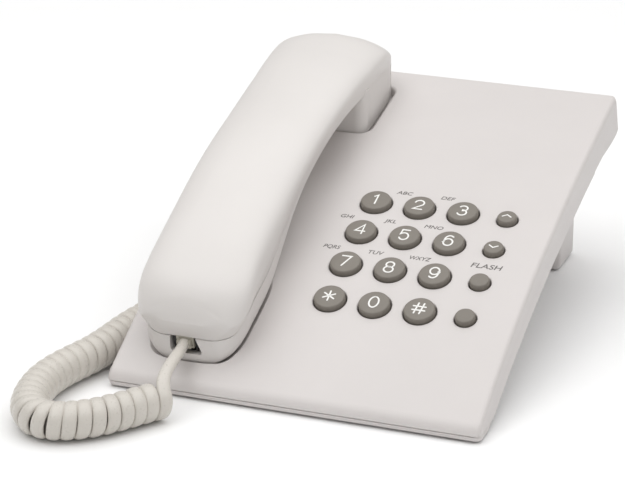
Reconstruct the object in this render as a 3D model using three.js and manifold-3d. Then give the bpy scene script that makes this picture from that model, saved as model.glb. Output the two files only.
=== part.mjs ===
// Corded desk telephone: arched wedge base with a sixteen-button panel on the right, a long
// handset lying in two hollows on the left, and a curly cord from the handset round to the base.
// Millimetres. +X to the user's right, +Y to the back, +Z up, standing on z = 0.

import * as THREE from 'three';
import { mergeVertices } from 'three/addons/utils/BufferGeometryUtils.js';
import Module from 'manifold-3d';

const wasm = await Module();
wasm.setup();

// ---------------------------------------------------------------- driving dimensions

const WIDTH = 150;                 // base, side to side
const DEPTH = 200;                 // base, front to back
const FRONT_Z = 5.9;               // height at which the top face would meet the front
const RISE = [114.6, -64.8, 18.0]; // top face: rise over the depth, linear, square and cube terms
const SLAB = 12.5;                 // thickness of the base, measured straight up
const WALL = 2.3;                  // top cover wall
const PLATE = 1.9;                 // bottom cover plate
const NOSE_R = 6.5;                // rounding of the front edge
const PARTING_Z = 3.2;             // lower rim of the top cover at the front
const GROUND_Z = 0.9;              // underside of the bottom cover above the table
const GAP = 0.35;                  // clearance between touching pieces

const KEY_PITCH = 18.3;            // columns, and rows measured on plan
const KEY_X = -0.3;                // first column
const KEY_Y = 1.2;                 // top row
const BIG_KEY_R = 6.7;
const SMALL_KEY_R = 4.4;
const KEY_GAP = 0.4;               // ring gap round a key
const KEY_HEIGHT = 2.7;            // key top above the face

const STAND = { halfWidth: 57.8, front: 74, back: 98.4, wall: 2.4 };
const HANDSET_X = -45.5;           // centre line of the handset
const EAR_DEPTH = 4.2;             // ear cup below the top face
const HOLLOW_FLOOR = 0.45;         // clearance under the ear cup
const SHELL = 2.2;                 // handset wall

const HOOK = { x: -36, y: 80 };      // plunger under the ear cup
const CORD_W = 5.2;                // flat cord, width
const COIL_D = 14.6;               // curly cord, outer diameter

// ---------------------------------------------------------------- materials

function plastic(name, color, roughness) {
  return new THREE.MeshStandardMaterial({ name, color, roughness, metalness: 0 });
}
const ivory = plastic('ivory_plastic', 0xe3dcdb, 0.42);
const handsetIvory = plastic('handset_plastic', 0xe8e4e0, 0.34);
const keyGrey = plastic('key_grey', 0x8b8178, 0.5);
const cordIvory = plastic('cord_ivory', 0xd9d1c8, 0.45);
const darkPlastic = plastic('dark_plastic', 0x2c2b2a, 0.5);
const clearPlastic = plastic('plug_plastic', 0xcfcabf, 0.2);
const rubber = plastic('grey_rubber', 0x5c5a57, 0.85);
const boardGreen = plastic('circuit_board', 0x2f6b46, 0.5);
const steel = new THREE.MeshStandardMaterial({ name: 'steel', color: 0xb4b5b7, roughness: 0.35, metalness: 1 });

// ---------------------------------------------------------------- solid helpers

function solid(geometry) {
  const bare = geometry.clone();
  for (const name of Object.keys(bare.attributes)) {
    if (name !== 'position') bare.deleteAttribute(name);
  }
  const merged = mergeVertices(bare, 1e-4);
  return new wasm.Manifold(new wasm.Mesh({
    numProp: 3,
    vertProperties: new Float32Array(merged.attributes.position.array),
    triVerts: new Uint32Array(merged.index.array),
  }));
}

function toGeometry(manifold) {
  const mesh = manifold.getMesh();
  const geometry = new THREE.BufferGeometry();
  geometry.setAttribute('position', new THREE.BufferAttribute(new Float32Array(mesh.vertProperties), 3));
  geometry.setIndex(new THREE.BufferAttribute(new Uint32Array(mesh.triVerts), 1));
  return geometry;
}

const join = (...parts) => parts.reduce((a, b) => a.add(b));
const cut = (body, ...tools) => tools.reduce((a, b) => a.subtract(b), body);

// Closed skin over a row of rings with equal point counts; both ends are capped.
function loft(rings) {
  const count = rings[0].length;
  const positions = rings.flat().flatMap((p) => [p.x, p.y, p.z]);
  const index = [];
  for (let i = 0; i < rings.length - 1; i++) {
    for (let j = 0; j < count; j++) {
      const a = i * count + j;
      const b = i * count + ((j + 1) % count);
      index.push(a, b, b + count, a, b + count, a + count);
    }
  }
  for (const end of [0, rings.length - 1]) {
    const ring = rings[end];
    const spanX = Math.max(...ring.map((p) => p.x)) - Math.min(...ring.map((p) => p.x));
    const flat = ring.map((p) => new THREE.Vector2(spanX > 1e-6 ? p.x : p.y, p.z));
    const clockwise = THREE.ShapeUtils.isClockWise(flat);
    for (const [a, b, c] of THREE.ShapeUtils.triangulateShape(clockwise ? [...flat].reverse() : flat, [])) {
      const turn = (k) => end * count + (clockwise ? count - 1 - k : k);
      const face = clockwise ? [turn(c), turn(b), turn(a)] : [turn(a), turn(b), turn(c)];
      index.push(...(end === 0 ? face.reverse() : face));
    }
  }
  const geometry = new THREE.BufferGeometry();
  geometry.setAttribute('position', new THREE.Float32BufferAttribute(positions, 3));
  geometry.setIndex(index);
  return signedVolume(geometry) < 0 ? flipped(geometry) : geometry;
}

function signedVolume(geometry) {
  const position = geometry.attributes.position;
  const corner = [new THREE.Vector3(), new THREE.Vector3(), new THREE.Vector3()];
  let volume = 0;
  for (let i = 0; i < geometry.index.count; i += 3) {
    corner.forEach((v, k) => v.fromBufferAttribute(position, geometry.index.getX(i + k)));
    volume += corner[0].dot(corner[1].clone().cross(corner[2])) / 6;
  }
  return volume;
}

function flipped(geometry) {
  const index = Array.from(geometry.index.array);
  for (let i = 0; i < index.length; i += 3) [index[i], index[i + 1]] = [index[i + 1], index[i]];
  geometry.setIndex(index);
  return geometry;
}

function box(x0, x1, y0, y1, z0, z1) {
  const geometry = new THREE.BoxGeometry(x1 - x0, y1 - y0, z1 - z0);
  geometry.translate((x0 + x1) / 2, (y0 + y1) / 2, (z0 + z1) / 2);
  return geometry;
}

// Turned piece standing on +Z: outline points are [radius, height], starting and ending on the axis.
function turned(outline, sides) {
  const points = outline.map(([r, h]) => new THREE.Vector2(r, h));
  const geometry = new THREE.LatheGeometry(points, sides);
  geometry.rotateX(Math.PI / 2);
  return geometry;
}

// Plate between two outlines in the YZ plane, running across X.
function acrossX(outline, x0, x1) {
  return loft([x0, x1].map((x) => outline.map(([y, z]) => new THREE.Vector3(x, y, z))));
}

// Smooth curve through [position, value] stations that never overshoots them.
function smooth(stations) {
  const n = stations.length;
  const slope = [];
  for (let i = 0; i < n - 1; i++) {
    slope.push((stations[i + 1][1] - stations[i][1]) / (stations[i + 1][0] - stations[i][0]));
  }
  const tangent = stations.map((_, i) => {
    if (i === 0) return slope[0];
    if (i === n - 1) return slope[n - 2];
    const [a, b] = [slope[i - 1], slope[i]];
    return a * b <= 0 ? 0 : (2 * a * b) / (a + b);
  });
  return (t) => {
    let i = stations.findIndex((s) => t < s[0]) - 1;
    if (i === -2) i = n - 2;
    i = Math.max(0, i);
    const [x0, y0] = stations[i];
    const [x1, y1] = stations[i + 1];
    const h = x1 - x0;
    const u = Math.min(1, Math.max(0, (t - x0) / h));
    return y0 * (2 * u ** 3 - 3 * u ** 2 + 1) + h * tangent[i] * (u ** 3 - 2 * u ** 2 + u)
      + y1 * (3 * u ** 2 - 2 * u ** 3) + h * tangent[i + 1] * (u ** 3 - u ** 2);
  };
}

const steps = (from, to, count) => Array.from({ length: count + 1 }, (_, i) => from + ((to - from) * i) / count);

// ---------------------------------------------------------------- the arched base

// Height of the top face, its slope angle, and the height of the underside.
function archZ(y) {
  const u = (y + DEPTH / 2) / DEPTH;
  return FRONT_Z + RISE[0] * u + RISE[1] * u ** 2 + RISE[2] * u ** 3;
}
const archAngle = (y) => Math.atan(archZ(y + 0.5) - archZ(y - 0.5));
const underZ = (y, floor = GROUND_Z) => Math.max(archZ(y) - SLAB, floor);

// Moves a piece made round the origin to a spot on the top face, square to the face there.
function onFace(geometry, x, y) {
  geometry.rotateX(archAngle(y));
  geometry.translate(x, y, archZ(y));
  return geometry;
}

// Point at a depth below the top face, measured square to it.
function below(y, depth) {
  const a = archAngle(y);
  return [y + depth * Math.sin(a), archZ(y) - depth * Math.cos(a)];
}

const ROWS = [0, 1, 2, 3].map((row) => KEY_Y - row * KEY_PITCH);
const COLUMNS = [0, 1, 2, 3].map((column) => KEY_X + column * KEY_PITCH);
const LONG = [...steps(-96.7, -80, 4), ...steps(-74, 98.6, 16)];

// Outline of the base seen from the side, drawn in by `inset` at the front, top and back.
function sideOutline(inset) {
  const radius = NOSE_R - inset;
  const tangent = archAngle(-96.7);
  const centreZ = archZ(-96.7) - NOSE_R * Math.cos(tangent);
  const start = Math.asin((PARTING_Z - centreZ) / radius);
  const centreY = -DEPTH / 2 + NOSE_R * Math.cos(start);
  const nose = steps(start, Math.PI / 2 - tangent, 5).map((a) => [
    centreY - radius * Math.cos(a), centreZ + radius * Math.sin(a)]);
  const top = LONG.slice(1).map((y) => [Math.min(y, 98.6 - inset), archZ(y) - inset / Math.cos(archAngle(y))]);
  const back = DEPTH / 2 - inset;
  const rear = [[back - 0.35, archZ(back) - 0.45 - inset], [back, archZ(back) - 1.3 - inset],
    [back, archZ(back) - SLAB]];
  const under = [...LONG].reverse().filter((y) => y < back - 2 && y > -95).map((y) => [y, underZ(y, PARTING_Z)]);
  return [...nose, ...top, ...rear, ...under];
}

function baseBlock() {
  const half = WIDTH / 2;
  const edge = [[half, 2.0], [half - 0.4, 0.95], [half - 1.1, 0.35], [half - 2.3, 0]];
  const stations = [...edge.map(([x, o]) => [-x, o]), ...[...edge].reverse()];
  return solid(loft(stations.map(([x, o]) => sideOutline(o).map(([y, z]) => new THREE.Vector3(x, y, z)))));
}

// Band under the top face between two straight-down depths.
function archBand(x0, x1, y0, y1, depth0, depth1, count = 14) {
  const ys = steps(y0, y1, count);
  const upper = ys.map((y) => [y, archZ(y) - depth0]);
  const lower = [...ys].reverse().map((y) => [y, archZ(y) - depth1]);
  return solid(acrossX([...upper, ...lower], x0, x1));
}

// ---------------------------------------------------------------- the handset's shape

// Side view of the handset along the base: crown, seam between the shells, and underside.
const crown = smooth([[-93, 23], [-92.2, 31.5], [-90, 37.5], [-86, 43], [-80, 48], [-70, 54.6], [-58, 60.6],
  [-21, 75.5], [0, 81.5], [37, 90], [55, 93.6], [74, 96], [80, 95], [84, 92.4], [86.6, 88.2], [87.6, 83]]);
const seam = smooth([[-93, 22], [-88, 21.6], [-80, 25], [-58, 36.5], [-40, 49], [-21, 59.5], [0, 68], [20, 74.2],
  [37, 78], [55, 80.5], [74, 82.6], [87.6, 82]]);
const underside = smooth([[-92, 17], [-91.2, 11.5], [-89, 8.2], [-84, 10.4], [-66, 19.5], [-52, 27.5], [-40, 38.5],
  [-28, 50.5], [-14, 60], [0, 66], [14, 70.2], [28, 73], [40, 74.6], [54, 77]]);
const halfWidth = smooth([[-93, 14], [-92.2, 18], [-90, 20.4], [-86, 22.3], [-80, 23.4], [-70, 23.7], [0, 23.2],
  [37, 23.7], [66, 24.4], [74, 24.2], [80, 23.4], [84, 22], [86.6, 19.8], [87.6, 17.5]]);

// Ear cup: a deep box below the handle that stands in the base's rear hollow.
const CUP_FRONT = 47.4;
const CUP_CORNER = 4.8;
const CUP_HALF = 23.9;
function cupBottom(y) {
  const lead = Math.max(0, 1 - (y - CUP_FRONT) / 2.4);
  const tail = Math.max(0, (y - 83.4) / 3.4);
  return archZ(y) - EAR_DEPTH + 1.6 * lead ** 2 + 4 * tail ** 2;
}
const bottomZ = (y) => (y < CUP_FRONT ? underside(y) : cupBottom(y));

// Half of a rounded cross-section from the seam to `to`; `skirt` carries its sides on upwards.
function rib(y, half, from, to, squareness, count, skirt = 0) {
  const ring = steps(0, Math.PI, count).map((a) => {
    const c = Math.cos(a);
    const x = half * Math.sign(c) * Math.abs(c) ** (2 / squareness);
    const z = from + (to - from) * Math.abs(Math.sin(a)) ** (2 / squareness);
    return new THREE.Vector3(HANDSET_X + x, y, z);
  });
  const raised = [ring[count], ring[0]].map((p) => new THREE.Vector3(p.x, y, p.z + skirt));
  return skirt ? [...ring, ...raised] : ring;
}

const UPPER_STATIONS = [-93, -92.4, -91.4, -90, -87, -83, -77, ...steps(-68, 68, 11), 74, 79, 82.5, 85, 86.8, 87.6];
const HANDLE_STATIONS = [-92, -91.2, -89.6, -87, -83, ...steps(-76, 36, 12), 44, 52];
const CUP_STATIONS = [46.6, 47.6, 48.6, 50, 60, 72, 80, 83.4, 85.2, 86.8];

// Stations of a run that is `wall` shorter at the ends given by `front` and `back`.
function trimmed(stations, front, back) {
  const first = stations[0] + front;
  const last = stations[stations.length - 1] - back;
  return [first, ...stations.filter((y) => y > first + 0.3 && y < last - 0.3), last];
}

// Upper half, drawn in by `wall`.
function upperHalf(wall) {
  return solid(loft(trimmed(UPPER_STATIONS, wall, wall).map((y) => {
    const floor = seam(y) - (wall ? 1 : 0);
    return rib(y, halfWidth(y) - wall, floor, Math.max(crown(y) - wall * 1.15, seam(y) + 0.6), 3.4, 14);
  })));
}

// Long lower part under the handle and round the mouthpiece, drawn in by `wall`.
function handleHalf(wall, skirt = 0) {
  return solid(loft(trimmed(HANDLE_STATIONS, wall, 0).map((y) => {
    const top = seam(y) - GAP + (wall > 0 ? 1 : 0);
    const along = wall < 0 && y < -86 ? y - wall : y;
    return rib(y, halfWidth(along) - 0.5 - wall, top, Math.min(underside(along) + wall * 1.1, top - 0.6), 5, 12, skirt);
  })));
}

// Ear cup, drawn in by `wall`.
function cupHalf(wall) {
  const body = solid(loft(trimmed(CUP_STATIONS, 0, wall).map((y) => {
    const top = seam(y) - GAP + (wall > 0 ? 1 : 0);
    return rib(y, halfWidth(y) - 0.5 - wall, top, cupBottom(y) + wall * 1.1, 7, 14);
  })));
  const half = CUP_HALF - wall;
  return body.intersect(roundedColumn(HANDSET_X - half, HANDSET_X + half, CUP_FRONT + wall, 120, CUP_CORNER - wall));
}

// Upright column with rounded corners.
function roundedColumn(x0, x1, y0, y1, corner) {
  const shape = new THREE.Shape();
  shape.absarc(x1 - corner, y0 + corner, corner, -Math.PI / 2, 0, false);
  shape.absarc(x1 - corner, y1 - corner, corner, 0, Math.PI / 2, false);
  shape.absarc(x0 + corner, y1 - corner, corner, Math.PI / 2, Math.PI, false);
  shape.absarc(x0 + corner, y0 + corner, corner, Math.PI, Math.PI * 1.5, false);
  return solid(new THREE.ExtrudeGeometry(shape, { depth: 100, bevelEnabled: false, curveSegments: 5 }));
}

// ---------------------------------------------------------------- base parts

const EAR_HOLLOW = { x0: -70.9, x1: -19.4, y0: 46.9, y1: 88.4, depth: EAR_DEPTH + HOLLOW_FLOOR };
const SCREWS = [[-60, -60], [60, -72], [-30, 24], [62, 62]];
const BOSS_R = 3.4;

function earHollowTool(grow, depth) {
  const { x0, x1, y0, y1 } = EAR_HOLLOW;
  return roundedColumn(x0 - grow, x1 + grow, y0 - grow, y1 + grow, 6)
    .intersect(archBand(x0 - grow - 1, x1 + grow + 1, y0 - grow - 1, y1 + grow + 1, -20, depth));
}

function scoopTool() {
  const bowl = new THREE.SphereGeometry(1, 20, 14);
  bowl.scale(26, 24, 6.5);
  return solid(onFace(bowl.translate(0, 0, 3.2), -39, 22));
}

function keyHole(radius) {
  const r = radius + KEY_GAP;
  return turned([[0, -8], [r, -8], [r, -0.45], [r + 0.7, 0.3], [r + 0.7, 2], [0, 2]], 20);
}

function eachKey(place) {
  return ROWS.flatMap((y, row) => COLUMNS.map((x, column) => place(x, y, row, column)));
}

function topCover() {
  const half = WIDTH / 2;
  const inner = archBand(-half + 2.6, half - 2.6, -97.2, 97.6, WALL, SLAB + 12, 24);
  let body = cut(baseBlock(), inner);
  const hollowBlock = earHollowTool(2, EAR_HOLLOW.depth + 2);
  const mouthBlock = handleHalf(-2.8).intersect(archBand(-73, -17, -97.6, -44, 0.6, 11));
  const scoopBlock = archBand(-68, -10, 2, 44, 0.8, 7.2, 4);
  const bosses = SCREWS.map(([x, y]) => solid(onFace(
    turned([[0, -9.2], [BOSS_R, -9.2], [BOSS_R, -1], [0, -1]], 12), x, y)));
  const outerLimit = baseBlock();
  body = join(body, hollowBlock.intersect(outerLimit), mouthBlock.intersect(outerLimit),
    scoopBlock.intersect(outerLimit), ...bosses);
  const screwHoles = SCREWS.map(([x, y]) => solid(onFace(
    turned([[0, -12], [1.3, -12], [1.3, -3.4], [0, -3.4]], 10), x, y)));
  const keyHoles = eachKey((x, y, row, column) => solid(onFace(keyHole(column < 3 ? BIG_KEY_R : SMALL_KEY_R), x, y)));
  const hookHole = solid(box(HOOK.x - 4, HOOK.x + 4, HOOK.y - 3, HOOK.y + 3, 50, 90));
  const switchSlots = SLIDE_SWITCHES.map((s) => solid(box(
    s.x - SWITCH_SLOT / 2, s.x + SWITCH_SLOT / 2, 96, 102, s.z - 1.75, s.z + 1.75)));
  return cut(body, earHollowTool(0, EAR_HOLLOW.depth), handleHalf(-0.75, 30), scoopTool(), ...screwHoles,
    ...keyHoles, hookHole, ...switchSlots);
}

function bottomCover() {
  const half = WIDTH / 2;
  const ys = [...steps(-97, -80, 5), ...steps(-72, 97.2, 15)];
  const plateOutline = [...ys.map((y) => [y, underZ(y) + PLATE]), ...[...ys].reverse().map((y) => [y, underZ(y)])];
  const plate = solid(acrossX(plateOutline, -half + 2.6 + GAP, half - 2.6 - GAP));
  const lipTop = PARTING_Z - GAP;
  const lipOutline = [[-99.6, GROUND_Z + 0.5], [-99.6, lipTop], [-84.4, lipTop], [-88.6, GROUND_Z], [-99.1, GROUND_Z]];
  const lipRing = (x, inset) => lipOutline.map(([y, z]) => new THREE.Vector3(
    x, Math.max(y, -99.6 + inset), z < 1.5 ? z + inset * 0.3 : z));
  const lip = solid(loft([[-half + 0.1, 2], [-half + 0.6, 0.9], [-half + 2, 0], [half - 2, 0], [half - 0.6, 0.9],
    [half - 0.1, 2]].map(([x, inset]) => lipRing(x, inset))));
  const footSeats = FRONT_FEET.map(([x, y]) => solid(turned(
    [[0, -1], [4.35, -1], [4.35, 1.55], [0, 1.55]], 16).translate(x, y, 0)));
  const screwSeats = SCREWS.map(([x, y]) => solid(onFace(
    turned([[0, -16], [3.2, -16], [3.2, -11.1], [1.3, -11.1], [1.3, -8], [0, -8]], 12), x, y)));
  const window = solid(box(HOOK.x - 7, HOOK.x + 7, HOOK.y - 5, HOOK.y + 5, 40, 80));
  return cut(join(plate, lip), ...footSeats, ...screwSeats, window);
}

function rearStand() {
  const { halfWidth: hw, front, back, wall } = STAND;
  const outer = solid(box(-hw, hw, front, back, GROUND_Z, 70));
  const above = archBand(-hw - 2, hw + 2, front - 2, back + 2, -10, SLAB + GAP, 6);
  const inner = solid(box(-hw + wall, hw - wall, front + wall, back - wall, GROUND_Z + 2.6, 90));
  const post = solid(box(HOOK.x - 6, HOOK.x + 6, HOOK.y - 3.6, HOOK.y + 3.6, GROUND_Z + 1, HOOK_SWITCH.bottom - GAP));
  const feet = REAR_FEET.map(([x, y]) => solid(turned(
    [[0, -1], [5.35, -1], [5.35, 1.85], [0, 1.85]], 16).translate(x, y, 0)));
  const lineHole = solid(box(LINE_JACK.x - 6.85, LINE_JACK.x + 6.85, back - 4, back + 2,
    LINE_JACK.z - 6.35, LINE_JACK.z + 6.35));
  const cordHole = solid(box(CORD_JACK.x - 5.35, CORD_JACK.x + 5.35, front - 2, front + 4,
    CORD_JACK.z - 4.85, CORD_JACK.z + 4.85));
  return cut(join(cut(outer, inner), post), above, ...feet, lineHole, cordHole);
}

const FRONT_FEET = [[-62, -93.4], [62, -93.4]];
const REAR_FEET = [[-48, 90], [48, 90]];
const HOOK_SWITCH = { bottom: 36, height: 9 };
const LINE_JACK = { x: 28, z: 34 };
const CORD_JACK = { x: -49.5, z: 20 };
const SWITCH_SLOT = 9.6;
const SWITCH_TRAVEL = 2.4;
const SLIDE_SWITCHES = [
  { name: 'ringer_volume_switch', x: 12, z: 67.2 },
  { name: 'dial_mode_switch', x: 40, z: 67.2 },
];

// Socket with a rectangular mouth towards -Y, centred on the origin in X and Z.
function socket(width, height, length, mouthWidth, mouthHeight) {
  const body = solid(box(-width / 2, width / 2, 0, length, -height / 2, height / 2));
  return cut(body, solid(box(-mouthWidth / 2, mouthWidth / 2, -1, length - 2, -mouthHeight / 2, mouthHeight / 2)));
}

// Modular plug pointing to +Y with its latch on the -Z side; its tail end is at y = 0.
function modularPlug() {
  const body = solid(box(-3.6, 3.6, 0, 12, -2.6, 2.8));
  const latch = loft([-1.5, 1.5].map((x) => [[11, -2.4], [11, -2.9], [2.5, -3.6], [1.5, -3.4], [9, -2.3]].map(
    ([y, z]) => new THREE.Vector3(x, y, z))));
  return join(body, solid(latch));
}

function placed(manifold, rotateZ, x, y, z) {
  const geometry = toGeometry(manifold);
  geometry.rotateZ(rotateZ);
  geometry.translate(x, y, z);
  return geometry;
}

function slideKnob() {
  const knob = solid(box(-2.2, 2.2, 97.9, 99.8, -1.4, 1.4));
  const carrier = solid(box(-4.2, 4.2, 95.4, 97.2, -2.8, 2.8));
  const neck = solid(box(-1.8, 1.8, 97, 98, -1.3, 1.3));
  return join(knob, carrier, neck);
}

// ---------------------------------------------------------------- cord route

// Handset tail: out of the handset's end, down past the base's front edge to the coil.
const HANDSET_TAIL = [[-46.3, -93.1, 17.7], [-46.5, -98, 15.9], [-46.6, -103, 12.8], [-45.6, -108.4, 9.6],
  [-43.8, -113.4, 8.1], [-43.7, -117.4, 7.6]];
// Curly stretch on the table: out to the front left, round, and back beside and under the base.
const COIL_ROUTE = [[-44.3, -119], [-49.8, -126.4], [-55.5, -134.6], [-61.5, -141.6], [-68.2, -146.6], [-75.2, -149],
  [-81.4, -147.8], [-86.6, -142.6], [-90.2, -134], [-92.2, -124], [-92.4, -115], [-91, -106], [-88.6, -97.4],
  [-86, -88.6], [-84.2, -78], [-83, -66], [-80.6, -52], [-76.4, -38], [-72.6, -22], [-69.6, -4], [-67, 14],
  [-63.6, 30]];
const COIL_Z = 7.6;
// Base tail: from the coil's end up into the plug in the front of the stand.
const BASE_TAIL = [[-63.5, 30.6, 7.6], [-61.8, 37, 8], [-57.4, 45, 10.4], [-52.6, 52, 14.8], [-49.9, 57.2, 18.8],
  [-49.5, 61.2, 20.1]];

function tube(points, radius, sides, count) {
  const path = new THREE.CatmullRomCurve3(points.map((p) => new THREE.Vector3(...p)));
  const shape = new THREE.Shape(steps(0, 2 * Math.PI, sides).slice(0, -1).map(
    (a) => new THREE.Vector2(radius * Math.cos(a), radius * Math.sin(a))));
  return new THREE.ExtrudeGeometry(shape, { extrudePath: path, steps: count });
}

// ---------------------------------------------------------------- assembly

const phone = new THREE.Group();
function add(name, shape, material) {
  const geometry = shape.isBufferGeometry ? shape : toGeometry(shape);
  const mesh = new THREE.Mesh(geometry, material);
  mesh.name = name;
  phone.add(mesh);
}

add('base_top_cover', topCover(), ivory);
add('base_bottom_cover', bottomCover(), ivory);
add('rear_stand', rearStand(), ivory);
FRONT_FEET.forEach(([x, y], i) => add(`front_foot_${i + 1}`, turned(
  [[0, 0], [3.6, 0], [4, 0.4], [4, 1.2], [0, 1.2]], 16).translate(x, y, 0), rubber));
REAR_FEET.forEach(([x, y], i) => add(`rear_foot_${i + 1}`, turned(
  [[0, 0], [4.6, 0], [5, 0.4], [5, 1.5], [0, 1.5]], 16).translate(x, y, 0), rubber));
SCREWS.forEach(([x, y], i) => add(`base_screw_${i + 1}`, onFace(turned(
  [[0, -13.2], [2.8, -13.2], [2.8, -11.4], [0.95, -11.4], [0.95, -4.2], [0, -3.8]], 12), x, y), steel));

// Buttons: twelve dialling keys and a column of four smaller ones.
const KEY_NAMES = [
  ['key_1', 'key_2', 'key_3', 'key_up'],
  ['key_4', 'key_5', 'key_6', 'key_down'],
  ['key_7', 'key_8', 'key_9', 'key_flash'],
  ['key_star', 'key_0', 'key_hash', 'key_redial'],
];
function button(radius) {
  const r = radius;
  const h = KEY_HEIGHT;
  return turned([[0, -3.7], [r + 0.95, -3.7], [r + 0.95, -2.75], [r, -2.75], [r - 0.1, h - 0.9],
    [r - 0.6, h - 0.15], [0, h + 0.1]], r > 5 ? 20 : 16);
}
eachKey((x, y, row, column) => add(KEY_NAMES[row][column],
  onFace(button(column < 3 ? BIG_KEY_R : SMALL_KEY_R), x, y), keyGrey));

const matRows = steps(-62, 10, 8);
add('keypad_membrane', acrossX([...matRows.map((y) => below(y, 5.5)),
  ...[...matRows].reverse().map((y) => below(y, 6.6))], -9, 63), rubber);
const boardTop = [below(-60, 7), below(8, 7)];
const boardTilt = Math.atan2(boardTop[1][1] - boardTop[0][1], boardTop[1][0] - boardTop[0][0]);
const boardUnder = boardTop.map(([y, z]) => [y + 1.2 * Math.sin(boardTilt), z - 1.2 * Math.cos(boardTilt)]);
add('circuit_board', acrossX([...boardTop, ...boardUnder.reverse()], -12, 66), boardGreen);

// Hook: a plunger through the floor of the ear hollow works a switch inside the stand.
const hookTop = archZ(HOOK.y - 2.5) - EAR_DEPTH - GAP;
const hookPlunger = join(
  solid(box(HOOK.x - 3.5, HOOK.x + 3.5, HOOK.y - 2.5, HOOK.y + 2.5, hookTop - 16, hookTop)),
  solid(box(HOOK.x - 5, HOOK.x + 5, HOOK.y - 3.3, HOOK.y + 3.3, hookTop - 8.6, hookTop - 7.4)),
);
add('hook_plunger', hookPlunger, ivory);
add('hook_switch', join(
  solid(box(HOOK.x - 6, HOOK.x + 6, HOOK.y - 3.4, HOOK.y + 3.4, HOOK_SWITCH.bottom,
    HOOK_SWITCH.bottom + HOOK_SWITCH.height)),
  solid(box(HOOK.x - 1.2, HOOK.x + 1.2, HOOK.y - 1.5, HOOK.y + 1.5, HOOK_SWITCH.bottom + 8,
    hookTop - 16 - GAP)),
), darkPlastic);

add('ringer_sounder', turned([[0, 0], [7.5, 0], [7.5, 5.5], [2, 5.5], [2, 4.6], [0, 4.6]], 20)
  .translate(20, 86.2, GROUND_Z + 2.6 + GAP), darkPlastic);
add('line_jack', placed(socket(13, 12, 13, 9.8, 7.6), Math.PI, LINE_JACK.x, STAND.back - 0.3, LINE_JACK.z),
  darkPlastic);
add('handset_cord_jack', placed(socket(10, 9, 14, 7.9, 7.2), 0, CORD_JACK.x, STAND.front + 0.3, CORD_JACK.z),
  darkPlastic);
SLIDE_SWITCHES.forEach(({ name, x, z }) => add(name, placed(slideKnob(), 0, x - SWITCH_TRAVEL / 2, 0, z),
  darkPlastic));

// Handset: outer and inner shell closed on each other along the seam.
const MOUTH_JACK = { x: -46.3, y: -92, z: 18.1, tilt: 0.3 };
const ear = { x: HANDSET_X, y: 66.5 };
const mouth = { x: HANDSET_X, y: -67.5 };
const HANDSET_SCREWS = [34, -40];

function soundHoles(centre, ring, radius) {
  return steps(0, 2 * Math.PI, ring).slice(0, -1).map((a) => {
    const spread = ring > 4 ? 6 : 3;
    return solid(new THREE.CylinderGeometry(radius, radius, 16, 8).rotateX(Math.PI / 2)
      .translate(centre.x + spread * Math.cos(a), centre.y + spread * Math.sin(a), bottomZ(centre.y)));
  });
}

function outerShell() {
  return cut(upperHalf(0), upperHalf(SHELL));
}

function innerShell() {
  const notch = solid(box(MOUTH_JACK.x - 5.2, MOUTH_JACK.x + 5.2, -96, -86.5, MOUTH_JACK.z - 4.6, 30));
  const screwHoles = HANDSET_SCREWS.map((y) => solid(new THREE.CylinderGeometry(2.6, 2.6, 12, 12)
    .rotateX(Math.PI / 2).translate(HANDSET_X, y, underside(y))));
  const skin = cut(join(handleHalf(0), cupHalf(0)), handleHalf(SHELL), cupHalf(SHELL));
  return cut(skin, notch, ...screwHoles, ...soundHoles(ear, 6, 1.1), ...soundHoles(mouth, 3, 0.8));
}

// Sets a piece that points to +Y into the handset's end, `inwards` of its end face.
function intoHandset(manifold, inwards) {
  return toGeometry(manifold).translate(0, inwards, 0).rotateX(MOUTH_JACK.tilt)
    .translate(MOUTH_JACK.x, MOUTH_JACK.y, MOUTH_JACK.z);
}

add('handset_outer_shell', outerShell(), handsetIvory);
add('handset_inner_shell', innerShell(), handsetIvory);
add('earpiece_capsule', turned([[0, 0], [13, 0], [14, 1.2], [14, 5.5], [9, 8], [0, 8]], 20)
  .rotateX(archAngle(ear.y)).translate(ear.x, ear.y, bottomZ(ear.y) + 3.4), darkPlastic);
add('microphone_capsule', turned([[0, 0], [5, 0], [5, 5.5], [0, 5.5]], 14)
  .rotateX(0.4).translate(mouth.x, mouth.y, bottomZ(mouth.y) + 4.4), darkPlastic);
add('handset_weight', box(-8, 8, -19, 19, -2.5, 2.5).rotateX(Math.atan(0.31))
  .translate(HANDSET_X, 0, 74.6), steel);
HANDSET_SCREWS.forEach((y, i) => add(`handset_screw_${i + 1}`, turned(
  [[0, 0], [2.2, 0], [2.2, 1.2], [0.9, 1.2], [0.9, 6.2], [0, 6.6]], 10)
  .translate(HANDSET_X, y, underside(y) + 0.8), steel));
add('handset_jack', intoHandset(socket(9.6, 8, 13.4, 7.9, 7.2), 3.2), darkPlastic);
add('handset_cord_plug', intoHandset(modularPlug(), -0.3), clearPlastic);

add('base_cord_plug', placed(modularPlug(), 0, CORD_JACK.x, STAND.front - 12, CORD_JACK.z), clearPlastic);
add('handset_cord_tail', tube(HANDSET_TAIL, CORD_W / 2, 8, 12), cordIvory);
add('curly_cord', tube(COIL_ROUTE.map(([x, y]) => [x, y, COIL_Z]), COIL_D / 2, 10, 44), cordIvory);
add('base_cord_tail', tube(BASE_TAIL, CORD_W / 2, 8, 16), cordIvory);

export default phone;
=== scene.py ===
"""Corded desk telephone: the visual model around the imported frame.

Shapes are worked out in millimetres in the row frame (+X right, +Y back, +Z up) and built in metres.
"""
import math

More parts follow.
